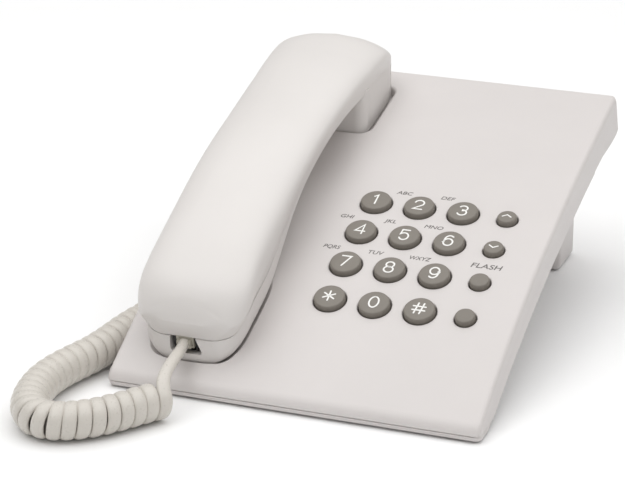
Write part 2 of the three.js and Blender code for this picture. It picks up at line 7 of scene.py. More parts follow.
import bmesh
import bpy
import numpy as np
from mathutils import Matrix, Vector


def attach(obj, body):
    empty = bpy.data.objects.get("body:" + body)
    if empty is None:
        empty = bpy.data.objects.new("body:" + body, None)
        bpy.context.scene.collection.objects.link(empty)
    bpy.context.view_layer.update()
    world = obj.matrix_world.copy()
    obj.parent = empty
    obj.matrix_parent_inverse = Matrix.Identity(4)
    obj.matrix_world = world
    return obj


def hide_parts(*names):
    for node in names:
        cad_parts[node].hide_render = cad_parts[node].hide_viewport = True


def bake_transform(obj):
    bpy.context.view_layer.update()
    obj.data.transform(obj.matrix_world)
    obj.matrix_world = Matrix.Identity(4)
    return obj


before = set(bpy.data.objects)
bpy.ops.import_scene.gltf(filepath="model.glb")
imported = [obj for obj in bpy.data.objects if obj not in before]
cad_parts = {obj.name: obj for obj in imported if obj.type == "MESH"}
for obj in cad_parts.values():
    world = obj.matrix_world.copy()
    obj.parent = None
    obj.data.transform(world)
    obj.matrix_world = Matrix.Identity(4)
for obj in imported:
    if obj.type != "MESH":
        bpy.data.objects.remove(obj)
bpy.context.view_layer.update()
MM = 0.001

# ------------------------------------------------------------------ dimensions, in millimetres

DEPTH = 200.0                         # slab, front to back
HALF_W = 75.0
FRONT_Z = 5.9                         # top face at the front edge
RISE = (114.6, -64.8, 18.0)           # cubic rise of the top face towards the back
SLAB = 12.5                           # slab thickness, straight down
PLATE = 1.9                           # thickness of the bottom cover
NOSE_R = 6.5                          # rounded front edge
PARTING_Z = 3.2                       # lower edge of the top cover at the front
GROUND_Z = 0.9                        # underside of the plastic, above the table
GAP = 0.35                            # clearance between covers
KEY_PITCH = 18.3
KEY_X, KEY_Y = -0.3, 1.2              # centre of key_1
BIG_R, SMALL_R = 6.22, 3.98           # key radii
KEY_GAP = 0.5
KEY_HEIGHT = 2.15                     # a key's top above the face
STAND = {"half": 57.8, "front": 74.0, "back": 98.4}
HX = -45.5                            # the handset's long axis
EAR_DEPTH = 4.2                       # reach of the ear cup below the top face
CUP_FRONT = 47.6
CUP_BACK = 85.4
CUP_CORNER = 4.8
CUP_HALF = 23.9
HOOK = (-36.0, 80.0)
SWITCH_SLOTS = (12.0, 40.0)           # x of the two slide switches in the rear edge
SWITCH_Z = 67.2
LINE_INLET = (28.0, 34.0)             # x, z in the stand's back wall
CORD_INLET = (-49.5, 20.0)            # x, z in the stand's front wall
FRONT_FEET = ((-62.0, -93.4), (62.0, -93.4))
REAR_FEET = ((-48.0, 90.0), (48.0, 90.0))
BASE_SCREWS = ((-60, -60), (60, -72), (-30, 24), (62, 62))
WALL_HOOKS = ((-40, -44), (40, -44))  # keyholes for hanging the base on a wall
HANDSET_SCREWS = (34.0, -40.0)        # y along the handset's axis


def arch_z(y):
    """Height of the slab's top face."""
    u = (np.asarray(y, float) + DEPTH / 2) / DEPTH
    return FRONT_Z + RISE[0] * u + RISE[1] * u**2 + RISE[2] * u**3


def arch_slope(y):
    u = (np.asarray(y, float) + DEPTH / 2) / DEPTH
    return (RISE[0] + 2 * RISE[1] * u + 3 * RISE[2] * u**2) / DEPTH


def under_z(y, floor=GROUND_Z):
    """Height of the slab's underside, no lower than floor."""
    return np.maximum(arch_z(y) - SLAB, floor)


def smooth(stations):
    """Overshoot-free curve through [position, value] stations."""
    xs = np.array([s[0] for s in stations], float)
    ys = np.array([s[1] for s in stations], float)
    slope = np.diff(ys) / np.diff(xs)
    tangent = np.empty(len(xs))
    tangent[0], tangent[-1] = slope[0], slope[-1]
    a, b = slope[:-1], slope[1:]
    safe = np.where(np.abs(a + b) < 1e-12, 1.0, a + b)
    tangent[1:-1] = np.where(a * b <= 0, 0.0, 2 * a * b / safe)

    def value(t):
        t = np.clip(np.asarray(t, float), xs[0], xs[-1])
        i = np.clip(np.searchsorted(xs, t, side="right") - 1, 0, len(xs) - 2)
        h = xs[i + 1] - xs[i]
        u = (t - xs[i]) / h
        return (ys[i] * (2 * u**3 - 3 * u**2 + 1) + h * tangent[i] * (u**3 - 2 * u**2 + u)
                + ys[i + 1] * (3 * u**2 - 2 * u**3) + h * tangent[i + 1] * (u**3 - u**2))

    return value


# The handset seen from the side and from above: crown, seam between the shells, lower rim of the
# outer shell (it turns in above the seam at the mouth end), underside, and half widths.
crown = smooth([
    [-93, 28], [-92.6, 31.5], [-91.6, 35.2], [-90, 38.6], [-86, 43.6], [-80, 48.4], [-70, 54.8],
    [-58, 60.6], [-21, 75.5], [0, 81.5], [37, 90], [55, 93.3], [73, 95.2], [79, 94.2], [83.4, 91.2],
    [86.4, 87], [87.6, 82.6],
])
SEAM_LINE = [
    [-90, 21.4], [-88, 22.2], [-85, 23.8], [-82, 26.4], [-78, 29.6], [-74, 32], [-58, 38], [-40, 49.4],
    [-21, 59.6], [0, 68], [20, 74.2], [37, 78], [55, 80.5], [74, 82.6], [87.6, 82],
]
seam = smooth([[-90.3, 21.2], *SEAM_LINE])
outer_rim = smooth([[-93, 28], [-92.4, 26.4], [-91.6, 24.7], [-90.8, 22.9], [-90.3, 21.8], *SEAM_LINE])
underside = smooth([
    [-90.3, 17.5], [-90, 14.5], [-89.3, 11.6], [-88, 9.4], [-84, 10.6], [-66, 19.5], [-52, 27.5],
    [-40, 38.5], [-28, 50.5], [-14, 60], [0, 66], [14, 70.2], [28, 73], [40, 74.6], [54, 77],
])
half_width = smooth([
    [-93, 9], [-92.6, 12.4], [-91.6, 15.8], [-90, 18.4], [-88, 20.3], [-86, 21.7], [-83, 22.8],
    [-79, 23.2], [-70, 23.0], [0, 22.4], [37, 23.0], [62, 24.3], [76, 24.6], [81, 24.1],
    [84, 23.1], [86.2, 21.3], [87.3, 19.4], [87.6, 18],
])
lower_width = smooth([
    [-90.3, 7.5], [-90, 10.5], [-89.2, 13.2], [-88, 15.6], [-86, 17.8], [-83, 19.6], [-80, 20.5],
    [-75, 21], [-60, 20.9], [-20, 20.9], [0, 21.1], [37, 22.2], [54, 23.5],
])
UPPER_SQUARE, LOWER_SQUARE = 7.0, 5.0
DOME = 5.2                            # crown of the handset's back above its long edges


def lower_square(y):
    """Squareness of the underside's section: rounder at the mouthpiece."""
    return float(np.interp(y, [-92, -86, -72, -50], [2.7, 2.9, 3.6, LOWER_SQUARE]))


# ------------------------------------------------------------------ materials


def material(name, rgb, rough, mottle=0.03, grain=4500.0, bump=0.06, coat=0.0, metallic=0.0, wave=None,
             painted_shade_below=None):
    """Moulded or rolled surface: slow colour drift, fine specks, and grain in the bump and the gloss.

    wave turns the grain into rolled ribs; painted_shade_below is (low, high, colour) for painted shade at
    the foot: darker below object height low, easing out by high, in metres.
    """
    mat = bpy.data.materials.new(name)
    mat.use_nodes = True
    nodes, links = mat.node_tree.nodes, mat.node_tree.links
    shader = nodes["Principled BSDF"]
    coords = nodes.new("ShaderNodeTexCoord")

    def noise(scale, detail, roughness=0.55):
        n = nodes.new("ShaderNodeTexNoise")
        n.inputs["Scale"].default_value = scale
        n.inputs["Detail"].default_value = detail
        n.inputs["Roughness"].default_value = roughness
        links.new(coords.outputs["Object"], n.inputs["Vector"])
        return n.outputs["Fac"]

    def ranged(source, low, high):
        m = nodes.new("ShaderNodeMapRange")
        m.inputs["From Min"].default_value = 0.3
        m.inputs["From Max"].default_value = 0.7
        m.inputs["To Min"].default_value = low
        m.inputs["To Max"].default_value = high
        links.new(source, m.inputs["Value"])
        return m.outputs["Result"]

    drift = nodes.new("ShaderNodeMix")
    drift.data_type = "RGBA"
    drift.inputs[6].default_value = (*[c * (1 - mottle) for c in rgb], 1)
    drift.inputs[7].default_value = (*[min(1, c * (1 + mottle)) for c in rgb], 1)
    links.new(ranged(noise(38.0, 5.0), 0.0, 1.0), drift.inputs[0])
    specks = nodes.new("ShaderNodeMix")
    specks.data_type = "RGBA"
    specks.blend_type = "MULTIPLY"
    specks.inputs[0].default_value = 1.0
    dust = ranged(noise(2600.0, 2.0), 1 - mottle * 1.2, 1.0)
    tone = nodes.new("ShaderNodeCombineColor")
    for channel in ("Red", "Green", "Blue"):
        links.new(dust, tone.inputs[channel])
    links.new(drift.outputs[2], specks.inputs[6])
    links.new(tone.outputs["Color"], specks.inputs[7])
    colour = specks.outputs[2]
    # painted shade: mixes in the dark colour below height low, standing in for the shade at a key's foot in
    # its hole
    if painted_shade_below:
        low, high, shade_rgb = painted_shade_below
        axis = nodes.new("ShaderNodeSeparateXYZ")
        links.new(coords.outputs["Object"], axis.inputs["Vector"])
        height_mask = nodes.new("ShaderNodeMapRange")
        height_mask.inputs["From Min"].default_value = low
        height_mask.inputs["From Max"].default_value = high
        links.new(axis.outputs["Z"], height_mask.inputs["Value"])
        skirt = nodes.new("ShaderNodeMix")
        skirt.data_type = "RGBA"
        skirt.inputs[6].default_value = (*shade_rgb, 1)
        links.new(height_mask.outputs["Result"], skirt.inputs[0])
        links.new(colour, skirt.inputs[7])
        colour = skirt.outputs[2]
    links.new(colour, shader.inputs["Base Color"])
    links.new(ranged(noise(900.0, 3.0), rough - 0.045, rough + 0.045), shader.inputs["Roughness"])
    height = noise(grain, 3.0)
    if wave:
        ribs = nodes.new("ShaderNodeTexWave")
        ribs.inputs["Scale"].default_value = wave
        ribs.inputs["Distortion"].default_value = 3.0
        ribs.inputs["Detail"].default_value = 3.0
        links.new(coords.outputs["Object"], ribs.inputs["Vector"])
        height = ribs.outputs["Fac"]
    relief = nodes.new("ShaderNodeBump")
    relief.inputs["Strength"].default_value = bump
    relief.inputs["Distance"].default_value = 0.0002
    links.new(height, relief.inputs["Height"])
    links.new(relief.outputs["Normal"], shader.inputs["Normal"])
    shader.inputs["Metallic"].default_value = metallic
    shader.inputs["Coat Weight"].default_value = coat
    shader.inputs["Coat Roughness"].default_value = 0.25
    return mat


def srgb(*values):
    """Linear colour from 0-255 screen values."""
    return tuple(((v / 255 + 0.055) / 1.055) ** 2.4 for v in values)


IVORY = material("ivory_plastic", srgb(211, 206, 204), 0.44, mottle=0.012)
HANDSET_IVORY = material("handset_plastic", srgb(220, 216, 213), 0.36, mottle=0.012)
# The keys' grey carries painted shade: darker below 1.3 to 1.7 mm of object height, meant for the shade at
# their feet.
KEY_GREY = material("key_grey", srgb(126, 120, 112), 0.5, mottle=0.03,
                    painted_shade_below=(0.0013, 0.0017, srgb(58, 53, 49)))
CORD_IVORY = material("cord_ivory", srgb(207, 202, 194), 0.3, mottle=0.007, bump=0.02)
DARK = material("dark_plastic", srgb(38, 37, 36), 0.5, mottle=0.06)
PLUG = material("plug_plastic", srgb(168, 163, 150), 0.16, mottle=0.02, bump=0.02, coat=0.3)
RUBBER = material("grey_rubber", srgb(84, 82, 79), 0.8, mottle=0.08, grain=2200, bump=0.25)
BOARD = material("circuit_board", srgb(44, 104, 66), 0.45, mottle=0.12)
STEEL = material("steel", srgb(176, 177, 180), 0.32, mottle=0.05, metallic=1.0, wave=900.0, bump=0.1)
LEGEND_WHITE = material("legend_white", srgb(240, 239, 236), 0.5, mottle=0.01)
LEGEND_GREY = material("legend_grey", srgb(92, 89, 86), 0.55, mottle=0.03)

# ------------------------------------------------------------------ mesh helpers


def mesh_object(name, points, faces, smooth_angle=32.0):
    mesh = bpy.data.meshes.new(name)
    mesh.from_pydata([tuple(float(c) * MM for c in p) for p in points], [], [tuple(f) for f in faces])
    mesh.validate()
    obj = bpy.data.objects.new(name, mesh)
    bpy.context.scene.collection.objects.link(obj)
    outward(mesh)
    shade(mesh, smooth_angle)
    return obj


def outward(mesh):
    """Turns all faces outwards."""
    bm = bmesh.new()
    bm.from_mesh(mesh)
    bmesh.ops.recalc_face_normals(bm, faces=bm.faces)
    bm.to_mesh(mesh)
    bm.free()


def shade(mesh, angle):
    mesh.shade_smooth()
    mesh.set_sharp_from_angle(angle=math.radians(angle))


def piece(obj, mat, body, slot_name, *replaced):
    """Gives a mesh its finish, lets it ride its body and stand for the CAD nodes it replaces; slot_name is
    not used.
    """
    obj.data.materials.clear()
    obj.data.materials.append(mat)
    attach(obj, body)
    if replaced:
        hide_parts(*replaced)
    return obj


def loft(rings):
    """Points and faces of a closed skin over rings with equal point counts."""
    rings = [np.asarray(r, float) for r in rings]
    count = len(rings[0])
    points = np.concatenate(rings)
    faces = []
    for i in range(len(rings) - 1):
        for j in range(count):
            a, b = i * count + j, i * count + (j + 1) % count
            faces.append((a, b, b + count, a + count))
    last = (len(rings) - 1) * count
    faces.append(tuple(range(count))[::-1])
    faces.append(tuple(range(last, last + count)))
    return points, faces


def lofted(name, rings, angle=32.0):
    """Closed mesh over a run of rings."""
    return mesh_object(name, *loft(rings), smooth_angle=angle)


def turned(name, outline, sides):
    """Turned piece round +Z; the outline is (radius, height) pairs, starting and ending at radius 0."""
    theta = np.linspace(0, 2 * math.pi, sides, endpoint=False)
    points, faces, rows = [], [], []
    for r, h in outline:
        if r < 1e-6:
            rows.append([len(points)])
            points.append((0, 0, h))
        else:
            rows.append(list(range(len(points), len(points) + sides)))
            points += [(r * math.cos(t), r * math.sin(t), h) for t in theta]
    for low, high in zip(rows, rows[1:]):
        for j in range(sides):
            k = (j + 1) % sides
            if len(low) == 1:
                faces.append((low[0], high[k], high[j]))
            elif len(high) == 1:
                faces.append((low[j], low[k], high[0]))
            else:
                faces.append((low[j], low[k], high[k], high[j]))
    return mesh_object(name, points, faces)


def place(obj, move, tilt=0.0):
    """Turns a mesh about X, then moves it; both baked into its points."""
    co = np.array([v.co for v in obj.data.vertices])
    c, s = math.cos(tilt), math.sin(tilt)
    co = co @ np.array([[1, 0, 0], [0, c, -s], [0, s, c]]).T
    co += np.array(move) * MM
    obj.data.vertices.foreach_set("co", co.ravel())
    obj.data.update()
    return obj


def on_face(obj, x, y):
    """Sets a mesh on the slab's top face, square to it."""
    return place(obj, (x, y, float(arch_z(y))), math.atan(float(arch_slope(y))))


def object_from(name, bm):
    """Object made of an edit mesh, which is used up."""
    mesh = bpy.data.meshes.new(name)
    bm.to_mesh(mesh)
    bm.free()
    obj = bpy.data.objects.new(name, mesh)
    bpy.context.scene.collection.objects.link(obj)
    shade(mesh, 32.0)
    return obj


def rounded_box(name, size, centre, radius):
    """Box with all its edges rounded."""
    bm = bmesh.new()
    bmesh.ops.create_cube(bm, size=1.0)
    for v in bm.verts:
        v.co = Vector([v.co[i] * size[i] for i in range(3)])
    bmesh.ops.bevel(bm, geom=bm.edges[:], offset=radius, segments=3, profile=0.5, affect="EDGES")
    for v in bm.verts:
        v.co = (v.co + Vector(centre)) * MM
    return object_from(name, bm)


def joined(name, objs):
    """One object from several meshes, which are used up."""
    bm = bmesh.new()
    for o in objs:
        bm.from_mesh(o.data)
        bpy.data.objects.remove(o)
    return object_from(name, bm)


def boolean(obj, tools, operation="DIFFERENCE", angle=32.0):
    """Applies exact booleans; the tools are used up."""
    for tool in tools:
        modifier = obj.modifiers.new("cut", "BOOLEAN")
        modifier.operation = operation
        modifier.solver = "EXACT"
        modifier.object = tool
    bpy.context.view_layer.update()
    result = bpy.data.meshes.new_from_object(obj.evaluated_get(bpy.context.evaluated_depsgraph_get()))
    obj.modifiers.clear()
    old = obj.data
    obj.data = result
    bpy.data.meshes.remove(old)
    for tool in tools:
        bpy.data.objects.remove(tool)
    bm = bmesh.new()
    bm.from_mesh(result)
    bmesh.ops.remove_doubles(bm, verts=bm.verts, dist=2e-6)
    bmesh.ops.dissolve_degenerate(bm, edges=bm.edges, dist=1e-6)
    bm.to_mesh(result)
    bm.free()
    shade(result, angle)
    return obj


def exact_normals(obj, wanted):
    """Gives loops the normal wanted(position mm, face normal), or their own where that is None."""
    mesh = obj.data
    normals = np.array([tuple(n.vector) for n in mesh.corner_normals])
    for polygon in mesh.polygons:
        face = np.array(polygon.normal)
        for loop in polygon.loop_indices:
            point = np.array(mesh.vertices[mesh.loops[loop].vertex_index].co) / MM
            exact = wanted(point, face)
            if exact is not None:
                normals[loop] = exact
    mesh.normals_split_custom_set([tuple(n) for n in normals])


def rounded_outline(x0, x1, y0, y1, corner, grow=0.0, arc=7):
    """Plan outline of a rounded rectangle let out by grow, anticlockwise."""
    points = []
    radius = corner + grow
    for cx, cy, start in ((x1 - corner, y0 + corner, -90), (x1 - corner, y1 - corner, 0),
                          (x0 + corner, y1 - corner, 90), (x0 + corner, y0 + corner, 180)):
        for a in np.radians(np.linspace(start, start + 90, arc)):
            points.append((cx + radius * math.cos(a), cy + radius * math.sin(a)))
    return np.array(points)


# ------------------------------------------------------------------ camera and light

AZIMUTH, ELEVATION = math.radians(20.252), math.radians(21.610)
CAMERA_AT = (0.31424, -0.92570, 0.41707)
LENS = 149.2
camera = bpy.data.cameras.new("camera")
camera.sensor_fit = "HORIZONTAL"
camera.sensor_width = 36.0
camera.lens = LENS
camera.clip_start, camera.clip_end = 0.05, 20.0
camera_object = bpy.data.objects.new("camera", camera)
bpy.context.scene.collection.objects.link(camera_object)
camera_object.location = CAMERA_AT
camera_object.rotation_euler = (math.pi / 2 - ELEVATION, 0, AZIMUTH)
bpy.context.scene.camera = camera_object
bpy.context.scene.view_settings.view_transform = "Standard"


def area_light(name, at, target, size, watts):
    """Soft rectangular lamp aimed at a target."""
    data = bpy.data.lights.new(name, "AREA")
    data.shape = "RECTANGLE"
    data.size, data.size_y = size
    data.energy = watts
    obj = bpy.data.objects.new(name, data)
    bpy.context.scene.collection.objects.link(obj)
    obj.location = at
    obj.rotation_euler = (Vector(target) - Vector(at)).to_track_quat("-Z", "Y").to_euler()
    return obj


area_light("key_light", (-0.1, -0.05, 1.5), (0, 0, 0.03), (2.4, 2.4), 27.0)
area_light("front_light", (-0.6, -1.0, 1.7), (0, 0, 0.04), (1.2, 1.2), 3.0)
area_light("side_light", (1.25, 0.3, 1.25), (0, 0, 0.04), (1.2, 1.2), 3.5)

world = bpy.data.worlds.new("studio")
bpy.context.scene.world = world
world.use_nodes = True
world.node_tree.nodes["Background"].inputs["Color"].default_value = (1.0, 0.995, 0.985, 1)
world.node_tree.nodes["Background"].inputs["Strength"].default_value = 0.38

FLOOR_HALF = 4000
floor_corners = [(a * FLOOR_HALF, b * FLOOR_HALF, 0) for a, b in ((-1, -1), (1, -1), (1, 1), (-1, 1))]
floor = mesh_object("floor", floor_corners, [(0, 1, 2, 3)])
FLOOR = material("floor_paper", (0.93, 0.93, 0.93), 0.9, mottle=0.004, grain=900, bump=0.01)
floor.data.materials.append(FLOOR)

# ------------------------------------------------------------------ cord

CORD_W, CORD_T, TAIL_D = 5.5, 2.7, 4.2     # flat cord in the coil, round cord in the tails
COIL_D, COIL_Z = 14.7, 7.6
PER_TURN = 24                         # points in a turn
SECTION_SIDES = 14
COIL_START, COIL_FINISH = 125, 330    # degrees round the coil where the tails leave it
PITCHES = ([0, 24, 36, 42, 60, 66, 80, 130, 150, 300],
           [5.6, 5.3, 4.65, 4.35, 4.35, 4.65, 5.1, 5.6, 5.3, 5.2])      # closer in the bend
HANDSET_TAIL = (np.array([-46.2, -90.2, 18.9]), np.array([0.9, -10.8, -2.4]))
COIL_ROUTE = [
    (-44.3, -119), (-49.8, -126.4), (-55.5, -134.6), (-61.5, -141.6), (-68.2, -146.6), (-75.2, -149),
    (-81.4, -147.8), (-86.6, -142.6), (-90.2, -134), (-92.2, -124), (-92.4, -115), (-91, -106),
    (-88.6, -97.4), (-86, -88.6), (-84.2, -78), (-83, -66), (-80.6, -52), (-76.4, -38), (-72.6, -22),
    (-69.6, -4), (-67, 14), (-63.6, 30), (-61.4, 42),
]
BASE_TAIL = [(np.array([-52.0, 54.8, 17.0]), np.array([1.6, -6.0, -4.2])),
             (np.array([-49.5, 62.6, 20.1]), np.array([0.0, -3.0, -0.6]))]


def catmull(points, spacing):
    """Centripetal curve through the points, sampled evenly."""
    p = np.array(points, float)
    p = np.vstack([2 * p[0] - p[1], p, 2 * p[-1] - p[-2]])
    t = np.concatenate([[0], np.cumsum(np.linalg.norm(np.diff(p, axis=0), axis=1) ** 0.5)])
    dense = []
    for i in range(1, len(p) - 2):
        t0, t1, t2, t3 = t[i - 1:i + 3]
        s = np.linspace(t1, t2, 60, endpoint=False)[:, None]
        a1 = (t1 - s) / (t1 - t0) * p[i - 1] + (s - t0) / (t1 - t0) * p[i]
        a2 = (t2 - s) / (t2 - t1) * p[i] + (s - t1) / (t2 - t1) * p[i + 1]
        a3 = (t3 - s) / (t3 - t2) * p[i + 1] + (s - t2) / (t3 - t2) * p[i + 2]
        b1 = (t2 - s) / (t2 - t0) * a1 + (s - t0) / (t2 - t0) * a2
        b2 = (t3 - s) / (t3 - t1) * a2 + (s - t1) / (t3 - t1) * a3
        dense.append((t2 - s) / (t2 - t1) * b1 + (s - t1) / (t2 - t1) * b2)
    dense = np.vstack([*dense, p[-2][None, :]])
    length = np.concatenate([[0], np.cumsum(np.linalg.norm(np.diff(dense, axis=0), axis=1))])
    at = np.linspace(0, length[-1], max(3, int(round(length[-1] / spacing)) + 1))
    return np.stack([np.interp(at, length, dense[:, k]) for k in range(3)], axis=1)


def unit(v):
    """Vectors of length 1."""
    return v / np.maximum(np.linalg.norm(v, axis=-1, keepdims=True), 1e-12)


def bezier(start, leaving, end, arriving, spacing=1.5):
    """A curve from start to end; the two handles are offsets from their own ends."""
    p = [np.array(start), np.array(start) + leaving, np.array(end) + arriving, np.array(end)]
    count = max(4, int(np.linalg.norm(p[3] - p[0]) * 1.08 / spacing))
    t = np.linspace(0, 1, count + 1)[:, None]
    return (1 - t)**3 * p[0] + 3 * t * (1 - t)**2 * p[1] + 3 * t * t * (1 - t) * p[2] + t**3 * p[3]


def coil():
    """Points of the helix along the route, and its outward directions."""
    axis_line = catmull([(x, y, COIL_Z) for x, y in COIL_ROUTE], 0.25)
    travelled = np.concatenate([[0], np.cumsum(np.linalg.norm(np.diff(axis_line, axis=0), axis=1))])
    turned_by = np.concatenate([[0], np.cumsum(np.diff(travelled) / np.interp(travelled[1:], *PITCHES))])
    start, finish = math.radians(COIL_START), math.radians(COIL_FINISH)
    count = int((int(turned_by[-1] - 1) + (finish - start) / (2 * math.pi)) * PER_TURN)
    s = np.interp(np.arange(count + 1) / PER_TURN, turned_by, travelled)
    centre = np.stack([np.interp(s, travelled, axis_line[:, k]) for k in range(3)], axis=1)
    along = unit(np.gradient(centre, axis=0))
    side = unit(np.cross(along, np.array([0, 0, 1.0])))
    phase = start + 2 * math.pi * np.arange(count + 1) / PER_TURN
    radial = np.cos(phase)[:, None] * side + np.sin(phase)[:, None] * np.array([0, 0, 1.0])
    return centre + (COIL_D - CORD_T) / 2 * radial, radial


def flat_side(path, head_count, radial, tail_count):
    """Direction square to the cord's flat side: inwards in the coil, easing to upright in the tails."""
    flat = np.empty_like(path)
    flat[head_count:-tail_count] = -radial
    ease = np.clip((np.arange(head_count) - head_count * 0.35) / (head_count * 0.65), 0, 1)[:, None]
    flat[:head_count] = (1 - ease) * np.array([0, 0, -1.0]) + ease * -radial[0]
    ease = np.clip(np.arange(tail_count) / (tail_count * 0.7), 0, 1)[:, None]
    flat[-tail_count:] = (1 - ease) * -radial[-1] + ease * np.array([0, -0.4, 1.0])
    tangent = unit(np.gradient(path, axis=0))
    flat = unit(flat - (flat * tangent).sum(1, keepdims=True) * tangent)
    return flat, np.cross(tangent, flat)


def build_cord():
    helix, radial = coil()
    head = bezier(HANDSET_TAIL[0], HANDSET_TAIL[1], helix[0], unit(helix[0] - helix[1]) * 8)[:-1]
    tail = np.vstack([bezier(helix[-1], unit(helix[-1] - helix[-2]) * 9, *BASE_TAIL[0])[1:],
                      bezier(BASE_TAIL[0][0], -BASE_TAIL[0][1], *BASE_TAIL[1])[1:]])
    path = np.vstack([head, helix, tail])
    flat, across = flat_side(path, len(head), radial, len(tail))
    theta = np.linspace(0, 2 * math.pi, SECTION_SIDES, endpoint=False)
    c, sn = np.cos(theta), np.sin(theta)
    wide = np.sign(c) * np.abs(c) ** 0.9 / 2
    thick = np.sign(sn) * np.abs(sn) ** 0.9 / 2
    last = len(path) - 1
    stops = [0, len(head), last - len(tail), last]
    width = np.interp(np.arange(last + 1), stops, [TAIL_D, CORD_W, CORD_W, TAIL_D])[:, None, None]
    depth = np.interp(np.arange(last + 1), stops, [TAIL_D, CORD_T, CORD_T, TAIL_D])[:, None, None]
    rings = path[:, None, :] + width * wide[None, :, None] * across[:, None, :]
    rings += depth * thick[None, :, None] * flat[:, None, :]
    return mesh_object("handset_cord", *loft(list(rings)), smooth_angle=60), path


cord, cord_path = build_cord()
cord.data.materials.append(CORD_IVORY)
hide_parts("handset_cord_tail", "curly_cord", "base_cord_tail")
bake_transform(cord)

# ------------------------------------------------------------------ base

SKIRT_STEP = ([-60, 20, 59.8, 60.2, 72, 80, 88, 100], [0, -0.9, -0.9, -0.3, -0.5, -1.6, -2.6, -3.0])
NOSE_Y = -96.7                        # where the rounded nose meets the top face
REAR_R = 1.6                          # rounded rear edge


def skirt_step(y):
    """Offset of the skirt's lower edge: a small step at y 60 and a deeper rear end."""
    return np.interp(y, *SKIRT_STEP)


def side_outline(inset):
    """The top cover seen from the side, drawn in by inset: nose, top face, rear edge and skirt."""
    radius = NOSE_R - inset
    tangent = math.atan(float(arch_slope(NOSE_Y)))
    centre_z = float(arch_z(NOSE_Y)) - NOSE_R * math.cos(tangent)
    start = math.asin((PARTING_Z - centre_z) / radius)
    centre_y = -DEPTH / 2 + NOSE_R * math.cos(math.asin((PARTING_Z - centre_z) / NOSE_R))
    nose = [(centre_y - radius * math.cos(a), centre_z + radius * math.sin(a))
            for a in np.linspace(start, math.pi / 2 - tangent, 12)]
    back = DEPTH / 2 - inset
    ys = np.linspace(-95.5, back - REAR_R, 110)
    top = [(y, float(arch_z(y)) - inset / math.cos(math.atan(float(arch_slope(y))))) for y in ys]
    corner = float(arch_z(back)) - inset
    rear = [(back - REAR_R + REAR_R * math.sin(a), corner - 1.9 + REAR_R * math.cos(a) + 0.02)
            for a in np.linspace(0.25, math.pi / 2, 6)]
    rear_low = float(arch_z(DEPTH / 2)) - SLAB
    foot = [(back, rear_low - 2.2), (back - 0.8, rear_low - 2.9)]
    low = [(y, float(max(arch_z(y) - SLAB + skirt_step(y), PARTING_Z)))
           for y in [*np.linspace(back - 3, 60.4, 20), *np.linspace(59.6, -94.0, 60)]]
    return np.array(nose + top + rear + foot + low)


def key_hole(radius):
    """Outline of the tool for a key's hole, whose mouth is rounded by a lip."""
    lip, depth = 0.55, 8.0
    profile = [(0, -depth), (radius + KEY_GAP, -depth)]
    profile += [(radius + KEY_GAP + lip * (1 - math.cos(a)), -0.5 + lip * math.sin(a) - 0.05)
                for a in np.linspace(0, 1.25, 5)]
    profile += [(radius + KEY_GAP + lip + 0.5, 1.5), (0, 1.5)]
    return profile


KEYS = [
    ("key_1", "key_2", "key_3", "key_up"),
    ("key_4", "key_5", "key_6", "key_down"),
    ("key_7", "key_8", "key_9", "key_flash"),
    ("key_star", "key_0", "key_hash", "key_redial"),
]


def each_key():
    """Name, x, y and whether it is a large key, row by row."""
    for row, names in enumerate(KEYS):
        for column, name in enumerate(names):
            yield name, KEY_X + column * KEY_PITCH, KEY_Y - row * KEY_PITCH, column < 3


EAR_HOLLOW = {"x0": -71.4, "x1": -19.6, "y0": 46.9, "y1": 86.6}
HOLLOW_WALL = (                       # depth below the top face, and how far the wall is let out there
    (4.65, -1.2), (4.55, -0.7), (4.3, -0.3), (3.9, -0.05), (3.5, 0.0), (0.95, 0.0),
    (0.6, 0.12), (0.28, 0.4), (0.05, 0.85), (-0.1, 1.4), (-3.0, 3.4),
)


def ear_tool():
    """The rear hollow, with a rounded lip where it meets the top face."""
    rings = []
    for depth, grow in HOLLOW_WALL:
        plan = rounded_outline(**EAR_HOLLOW, corner=6.0, grow=grow, arc=9)
        rings.append([(x, y, float(arch_z(y)) - depth) for x, y in plan])
    return lofted("ear_tool", rings)


def lower_ring(y, half, from_z, to_z, squareness, count, skirt=0.0):
    """Section of the handset's lower half, from its upper edge round the underside."""
    t = np.linspace(0, math.pi, count + 1)
    c, s = np.cos(t), np.sin(t)
    x = half * np.sign(c) * np.abs(c) ** (2 / squareness)
    z = from_z + (to_z - from_z) * np.abs(s) ** (2 / squareness)
    ring = [(HX + a, y, b) for a, b in zip(x, z)]
    if skirt:
        ring += [(HX - half, y, from_z + skirt), (HX + half, y, from_z + skirt)]
    return ring


def spread(*runs):
    """Stations from (from, to, count) runs."""
    values = [np.linspace(a, b, n, endpoint=False) for a, b, n in runs]
    return np.concatenate([*values, [runs[-1][1]]])


def mouth_tool():
    """The front hollow: the handset's own underside let out, flaring a little at the top face."""
    room = 0.8
    rings = []
    for y in spread((-91.1, -85, 14), (-85, -30, 26)):
        along = min(y + room, -84.2) if y < -85 else y
        top = float(seam(y)) - GAP
        ring = lower_ring(y, float(lower_width(along)) + room, top, float(underside(along)) - room,
                          lower_square(y), 40, skirt=30)
        flared = []
        for x, yy, z in ring:
            near = np.clip(1 - (float(arch_z(y)) - z) / 0.9, 0, 2.2)
            flared.append((HX + (x - HX) * (1 + 0.014 * near**1.6), yy, z))
        rings.append(flared)
    return lofted("mouth_tool", rings)


SCOOP = {"x": -38.0, "y": 24.0, "rx": 21.0, "ry": 27.0, "depth": 2.6}


def scoop(x, y):
    """Depth of the soft finger hollow beside the handle."""
    r = np.hypot((x - SCOOP["x"]) / SCOOP["rx"], (y - SCOOP["y"]) / SCOOP["ry"])
    t = np.clip(1 - r, 0, 1)
    return SCOOP["depth"] * t * t * (3 - 2 * t)


